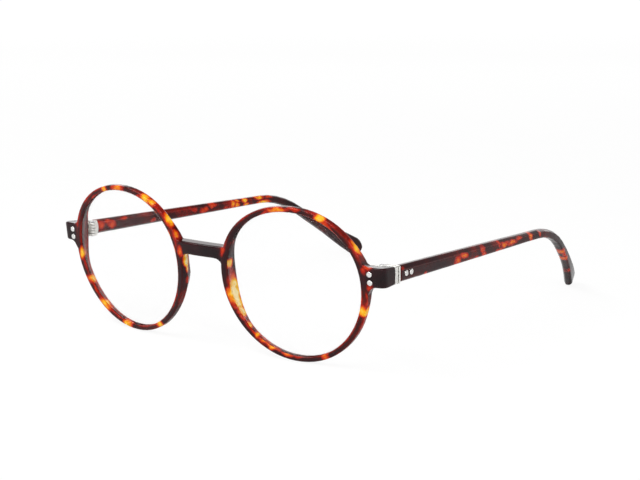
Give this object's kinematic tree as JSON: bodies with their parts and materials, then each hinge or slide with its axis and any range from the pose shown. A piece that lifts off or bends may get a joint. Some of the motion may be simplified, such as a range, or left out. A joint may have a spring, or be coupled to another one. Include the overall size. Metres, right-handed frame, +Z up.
{
  "type": "eyeglass frame",
  "caption": "Thin round eyeglass frame in tortoise acetate: a bridged front holds two lenses before the eyes, and folding hooked temples rest on the ears.",
  "frame": {"origin": "centre of the bounding box seen from above, on the level that the rims and the temple tips rest on", "axes": "+Z up, the front faces -Y, the temples run back along +Y, and the wearer's left is +X"},
  "size_m": [0.1276, 0.1468, 0.0472],
  "materials": {
    "acetate": "polished cellulose acetate, dark havana tortoise with red, orange and yellow patches",
    "steel": "satin nickel silver, brighter on the rivet heads",
    "lens": "clear, uncoated"
  },
  "bodies": {
    "front": {"front_frame": "acetate", "lens_left": "lens", "front_rivet_upper_left": "steel", "front_rivet_lower_left": "steel", "front_hinge_left": "steel", "hinge_screw_left": "steel", "lens_right": "lens", "front_rivet_upper_right": "steel", "front_rivet_lower_right": "steel", "front_hinge_right": "steel", "hinge_screw_right": "steel"},
    "temple_left": {"temple_hinge_left": "steel", "temple_left": "acetate", "temple_core_left": "steel", "temple_rivet_front_left": "steel", "temple_rivet_rear_left": "steel"},
    "temple_right": {"temple_hinge_right": "steel", "temple_right": "acetate", "temple_core_right": "steel", "temple_rivet_front_right": "steel", "temple_rivet_rear_right": "steel"}
  },
  "joints": [
    {"name": "fold_left", "type": "hinge", "parent": "front", "child": "temple_left", "pos_m": [0.0584, -0.05999, 0.02869], "axis": [-0.005, 0.0245, 0.9997], "range_deg": [0, 88]},
    {"name": "fold_right", "type": "hinge", "parent": "front", "child": "temple_right", "pos_m": [-0.0584, -0.05999, 0.02869], "axis": [-0.005, -0.0245, -0.9997], "range_deg": [0, 78]}
  ]
}
